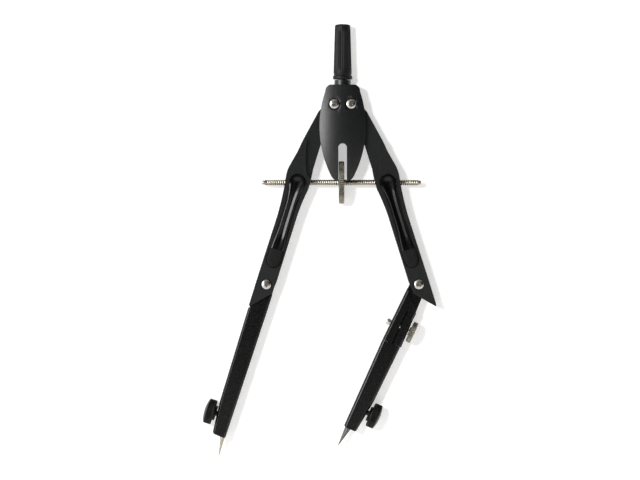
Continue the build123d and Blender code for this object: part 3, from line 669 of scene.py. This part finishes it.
def makePoint(name, side, body, slot, material):
    style = points[name]
    across, up = lowerAcross[side], Vector((-lowerAcross[side].z, 0, lowerAcross[side].x))
    lean = math.radians(style["lean"])
    axis = across * math.sin(lean) - up * math.cos(lean)
    origin = lowerLegs[side] @ (Vector((*style["foot"], 0)) * mm)
    r, cone = style["radius"], style["cone"]
    tip = 0.6 + cone
    profile = [(0, -14.0), (r, -14.0), (r, 0.45), (r * 0.985, 0.6), (r * 0.93, 0.95),
               (r * 0.5, 0.6 + cone * 0.52), (0.09, tip - 0.1), (0.05, tip), (0, tip + 0.04)]
    piece = spinProfile(f"{name}Point", profile, origin, axis, yAxis, style["facets"])
    return finishPiece(piece, material, body, slot, name, sharp=20)


makePoint("needle", "left", "needle", "needle_steel", needleSteel)
makePoint("lead", "right", "lead", "graphite", graphite)
print("needle and lead done")

# release levers: a shallow dish, a long groove between two ridges and a matte pad

lever = {
    "dishRadius": 2.95, "face": 4.3, "back": 2.7, "waist": 1.95, "padHalf": 2.7, "padTop": -26.6,
    "padEnd": -33.6, "dishDepth": 0.36, "grooveDepth": 0.42, "ridgeAt": 0.66, "edgeDrop": 0.6,
    "dishRim": 0.86, "padDrop": 0.25, "springKeep": 0.6, "acrossSteps": 28, "alongSteps": 90,
    "outlineAt": (-1.2, -9, -17, -27, -30.4),  # neck, waist, flare, pad and its round end
}


def leverHalfWidth(y):
    r, end = lever["dishRadius"], lever["padEnd"]
    neckAt, waistAt, flareAt, padAt, roundAt = lever["outlineAt"]
    if y > neckAt:
        return math.sqrt(max(0.0, r * r - y * y))
    neck = math.sqrt(r * r - neckAt * neckAt)
    if y > waistAt:
        return neck + (lever["waist"] - neck) * smoothStep(-y, -neckAt, -waistAt)
    if y > padAt:
        flare = lever["padHalf"] - lever["waist"]
        return lever["waist"] + flare * smoothStep(-y, -flareAt, -padAt)
    if y > roundAt:
        return lever["padHalf"]
    share = (roundAt - y) / (roundAt - end)
    return lever["padHalf"] * math.sqrt(max(0.0, 1 - share * share))


def leverHeight(x, y, half):
    share = abs(x) / max(half, 0.01)
    if y < lever["padTop"]:
        return lever["face"] - lever["padDrop"] - 0.25 * share ** 4
    edge = max(0.0, share - lever["ridgeAt"]) / (1 - lever["ridgeAt"]) * smoothStep(-y, -1.5, 4)
    height = lever["face"] - lever["edgeDrop"] * edge ** 2
    blend = smoothStep(-y, 0.5, 5.5)  # the dish runs out into the groove
    ridge = lever["dishRim"] + (lever["ridgeAt"] - lever["dishRim"]) * blend
    reach = math.hypot(x, y) / (lever["dishRadius"] * lever["dishRim"]) if y > 0 else share / ridge
    deep = lever["dishDepth"] + (lever["grooveDepth"] - lever["dishDepth"]) * blend
    deep *= 1 - 0.6 * smoothStep(-y, 18, 26.6)
    return height - deep * (1 - smoothStep(reach, 0, 1))


def makeLever(side):
    place = upperLegs[side]
    r, end, steps = lever["dishRadius"], lever["padEnd"], lever["alongSteps"]
    stations = [r - (r - end) * 0.5 * (1 - math.cos(math.pi * k / steps)) for k in range(steps + 1)]
    stations = sorted({round(y, 4) for y in stations}
                      | {lever["padTop"] + 0.02, lever["padTop"] - 0.02}, reverse=True)
    sections = []
    for y in stations:
        half = max(leverHalfWidth(y), 0.06)
        row = [(half * math.sin(math.pi / 2 * t), y) for t in
               [2 * k / lever["acrossSteps"] - 1 for k in range(lever["acrossSteps"] + 1)]]
        section = [(x, y, leverHeight(x, y, half)) for x, y in row]
        section += [(half, y, lever["back"]), (-half, y, lever["back"])]
        sections.append([place @ (Vector(point) * mm) for point in section])
    piece = loftSections(f"releaseLever.{side}", sections)
    finishPiece(piece, leverGloss, f"lever_{side}", "lever_gloss", f"release_lever_{side}",
                sharp=45)
    piece.data.materials.append(padMatte)
    inverse = place.inverted()
    for face in piece.data.polygons:
        spot = inverse @ face.center
        if spot.y < lever["padTop"] * mm and spot.z > (lever["back"] + 0.1) * mm:
            face.material_index = 1
    return piece


def makeSpring(side):
    # the coil under the pad, a copy of the CAD spring with a mesh of its own; on the real compass
    # it shortens as the lever is pressed
    piece = addPiece(f"padSpring.{side}", cadNodes[f"lever_spring_{side}"].data.copy())
    finishPiece(piece, needleSteel, f"leg_{side}", "screw_steel", f"lever_spring_{side}")
    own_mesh(piece)


for side in ("left", "right"):
    makeLever(side)
    makeSpring(side)
print("release levers done")

# upper legs: the casting with its outer front edges rolled over

upperLeg = {"half": 3.5, "roll": 1.1, "rollSteps": 5, "rolledFrom": -47, "rolledTo": 12,
            "rimFrom": 2.9}


def makeUpperLeg(side):
    inverse = upperLegs[side].inverted()

    def outerEdge(edge):
        if edge.calc_length() < 1e-6:
            return False
        a, b = (inverse @ vert.co / mm for vert in edge.verts)
        middle = (a + b) / 2
        if abs(abs(a.z) - upperLeg["half"]) > 0.01 or abs(a.z - b.z) > 0.01:
            return False
        walls = [face for face in edge.link_faces if abs(face.normal.y) < 0.2]
        if len(walls) != 1 or not upperLeg["rolledFrom"] <= middle.y <= upperLeg["rolledTo"]:
            return False
        outward = inverse.to_3x3() @ walls[0].normal
        return (outward.x * middle.x > 0 and abs(middle.x) > upperLeg["rimFrom"]
                and abs(outward.x) > 0.6)

    piece = softCopy(f"upperLeg.{side}", f"upper_leg_{side}", upperLeg, outerEdge)
    return finishPiece(piece, legLacquer, f"leg_{side}", "leg_paint", f"upper_leg_{side}",
                       sharp=24, flatFaces=True)


for side in ("left", "right"):
    makeUpperLeg(side)
print("upper legs done")

# lower legs: bevelled bars with their corners broken

lowerLeg = {"roll": 0.32, "rollSteps": 4, "rolledFrom": 7.0}  # shorter edges stay sharp


def makeLowerLeg(name, node, body):
    def longEdge(edge):
        return (edge.calc_face_angle(0) > math.radians(30)
                and edge.calc_length() > lowerLeg["rolledFrom"] * mm)

    piece = softCopy(name, node, lowerLeg, longEdge)
    return finishPiece(piece, powderCoat, body, "lower_leg_paint", node, sharp=28, flatFaces=True)


makeLowerLeg("lowerLeg.left", "lower_leg_left", "lower_leg_left")
makeLowerLeg("kneeSocket", "knee_socket", "knee_socket")
makeLowerLeg("leadInsert", "lead_insert", "lead_insert")
print("lower legs done")

# head shells: domed, with a rolled rim

head = {"roll": 0.5, "rollSteps": 4, "rimDepth": 3.2, "slotHalf": 1.9, "middle": -19}


def makeCover(side, facing):
    def rimEdge(edge):
        middle = (edge.verts[0].co + edge.verts[1].co) / 2 / mm
        if middle.y * facing < head["rimDepth"] or edge.calc_face_angle(0) < math.radians(35):
            return False
        walls = [face for face in edge.link_faces if abs(face.normal.y) < 0.25]
        if len(walls) != 1:
            return False
        beyondSlot = abs(middle.x) > head["slotHalf"] or middle.z > -5
        away = walls[0].normal.dot(Vector((middle.x, 0, middle.z - head["middle"])))
        return beyondSlot and away > 0

    piece = softCopy(f"headShell.{side}", f"{side}_cover", head, rimEdge)
    return finishPiece(piece, headAbs, "head", "head_shell", f"{side}_cover", sharp=24,
                       flatFaces=True)


makeCover("front", -1)
makeCover("back", 1)
print("head shells done")

# stage: a pale floor, a one-sided sheet close behind the compass, and the light

stage = {
    "sheetGap": 6.0, "floorLevel": -161.0, "paper": "#e2e1df", "paperGlow": 0.48,
    "sheetHalf": 0.5, "sheetTop": 0.3, "floorHalf": 0.6, "backdrop": 1.1,
    "keyPower": 10.0, "keySize": (0.13, 0.13), "keyPlace": (-0.44, -1.28, 0.16),
    "softPower": 6.5, "softSize": (0.3, 0.5), "softPlace": (-0.74, -0.94, 0.1),
    "stripPower": 11.0, "stripSize": (0.4, 1.2), "stripPlace": (-0.96, -0.7, 0.15),
    "worldLow": 0.03, "worldHigh": 0.55, "worldFrom": (-0.7, 0.0, 0.71),
}
camera = {"distance": 1.5, "centre": (-8.6, -61.7), "width": 243.2, "sensor": 36.0}


def makeStage():
    paper, tree, surface, where = startMaterial("pearlPaper", specular=0.1)
    surface.inputs["Base Color"].default_value = colour(stage["paper"])
    surface.inputs["Roughness"].default_value = 0.9
    surface.inputs["Emission Color"].default_value = (1, 1, 1, 1)
    surface.inputs["Emission Strength"].default_value = stage["paperGlow"]
    output = tree.nodes["Material Output"]
    clear = addNode(tree, "ShaderNodeBsdfTransparent")
    facing = addNode(tree, "ShaderNodeNewGeometry")
    mix = addNode(tree, "ShaderNodeMixShader", {
        0: facing.outputs["Backfacing"], 1: surface.outputs[0], 2: clear.outputs[0]})
    tree.links.new(mix.outputs[0], output.inputs["Surface"])
    gap, low = stage["sheetGap"] * mm, stage["floorLevel"] * mm
    side, top, reach = stage["sheetHalf"], stage["sheetTop"], stage["floorHalf"]
    sheet = buildPiece("sheetBehind", [
        Vector((-side, gap, low)), Vector((side, gap, low)), Vector((side, gap, top)),
        Vector((-side, gap, top))], [(0, 1, 2, 3)])
    floor = buildPiece("floor", [
        Vector((-reach, -reach, low)), Vector((reach, -reach, low)), Vector((reach, reach, low)),
        Vector((-reach, reach, low))], [(0, 1, 2, 3)])
    for piece, front in ((sheet, Vector((0, -1, 0))), (floor, Vector((0, 0, 1)))):
        if piece.data.polygons[0].normal.dot(front) < 0:
            piece.data.flip_normals()
        piece.data.materials.append(paper)


def aimedLight(name, power, size, spot, diffuse=True, glossy=True):
    x, z = camera["centre"]
    target = Vector((x * mm, 0, z * mm))
    data = bpy.data.lights.new(name, "AREA")
    data.shape, data.energy = "RECTANGLE", power
    data.size, data.size_y = size
    lamp = bpy.data.objects.new(name, data)
    lamp.location = Vector(spot)
    lamp.rotation_euler = (target - Vector(spot)).to_track_quat("-Z", "Y").to_euler()
    lamp.visible_diffuse, lamp.visible_glossy = diffuse, glossy
    bpy.context.scene.collection.objects.link(lamp)


def makeWorld():
    world = bpy.data.worlds.new("studio")
    bpy.context.scene.world = world
    world.use_nodes = True
    tree = world.node_tree
    tree.nodes.clear()
    direction = addNode(tree, "ShaderNodeTexCoord").outputs["Generated"]
    toward = addNode(tree, "ShaderNodeVectorMath", {0: direction, 1: stage["worldFrom"]},
                     operation="DOT_PRODUCT")
    level = addNode(tree, "ShaderNodeMapRange", {
        "Value": toward.outputs["Value"], "From Min": -0.2, "From Max": 1.0,
        "To Min": stage["worldLow"], "To Max": stage["worldHigh"]},
        interpolation_type="SMOOTHSTEP")
    room = addNode(tree, "ShaderNodeBackground", {
        "Color": (1, 0.995, 0.985, 1), "Strength": level.outputs["Result"]})
    white = addNode(tree, "ShaderNodeBackground", {
        "Color": (1, 1, 1, 1), "Strength": stage["backdrop"]})
    ray = addNode(tree, "ShaderNodeLightPath")
    mix = addNode(tree, "ShaderNodeMixShader", {
        0: ray.outputs["Is Camera Ray"], 1: room.outputs[0], 2: white.outputs[0]})
    addNode(tree, "ShaderNodeOutputWorld", {0: mix.outputs[0]})


def makeCamera():
    data = bpy.data.cameras.new("camera")
    data.sensor_width = camera["sensor"]
    data.lens = camera["sensor"] * camera["distance"] / (camera["width"] * mm)
    data.clip_start, data.clip_end = 0.05, 20
    viewer = bpy.data.objects.new("camera", data)
    x, z = camera["centre"]
    viewer.location = (x * mm, -camera["distance"], z * mm)
    viewer.rotation_euler = (math.pi / 2, 0, 0)
    bpy.context.scene.collection.objects.link(viewer)
    bpy.context.scene.camera = viewer


makeStage()
aimedLight("key", stage["keyPower"], stage["keySize"], stage["keyPlace"], glossy=False)
aimedLight("softbox", stage["softPower"], stage["softSize"], stage["softPlace"], diffuse=False)
aimedLight("sideStrip", stage["stripPower"], stage["stripSize"], stage["stripPlace"],
           diffuse=False)
makeWorld()
makeCamera()
bpy.context.scene.view_settings.view_transform = "Standard"
print("stage done")
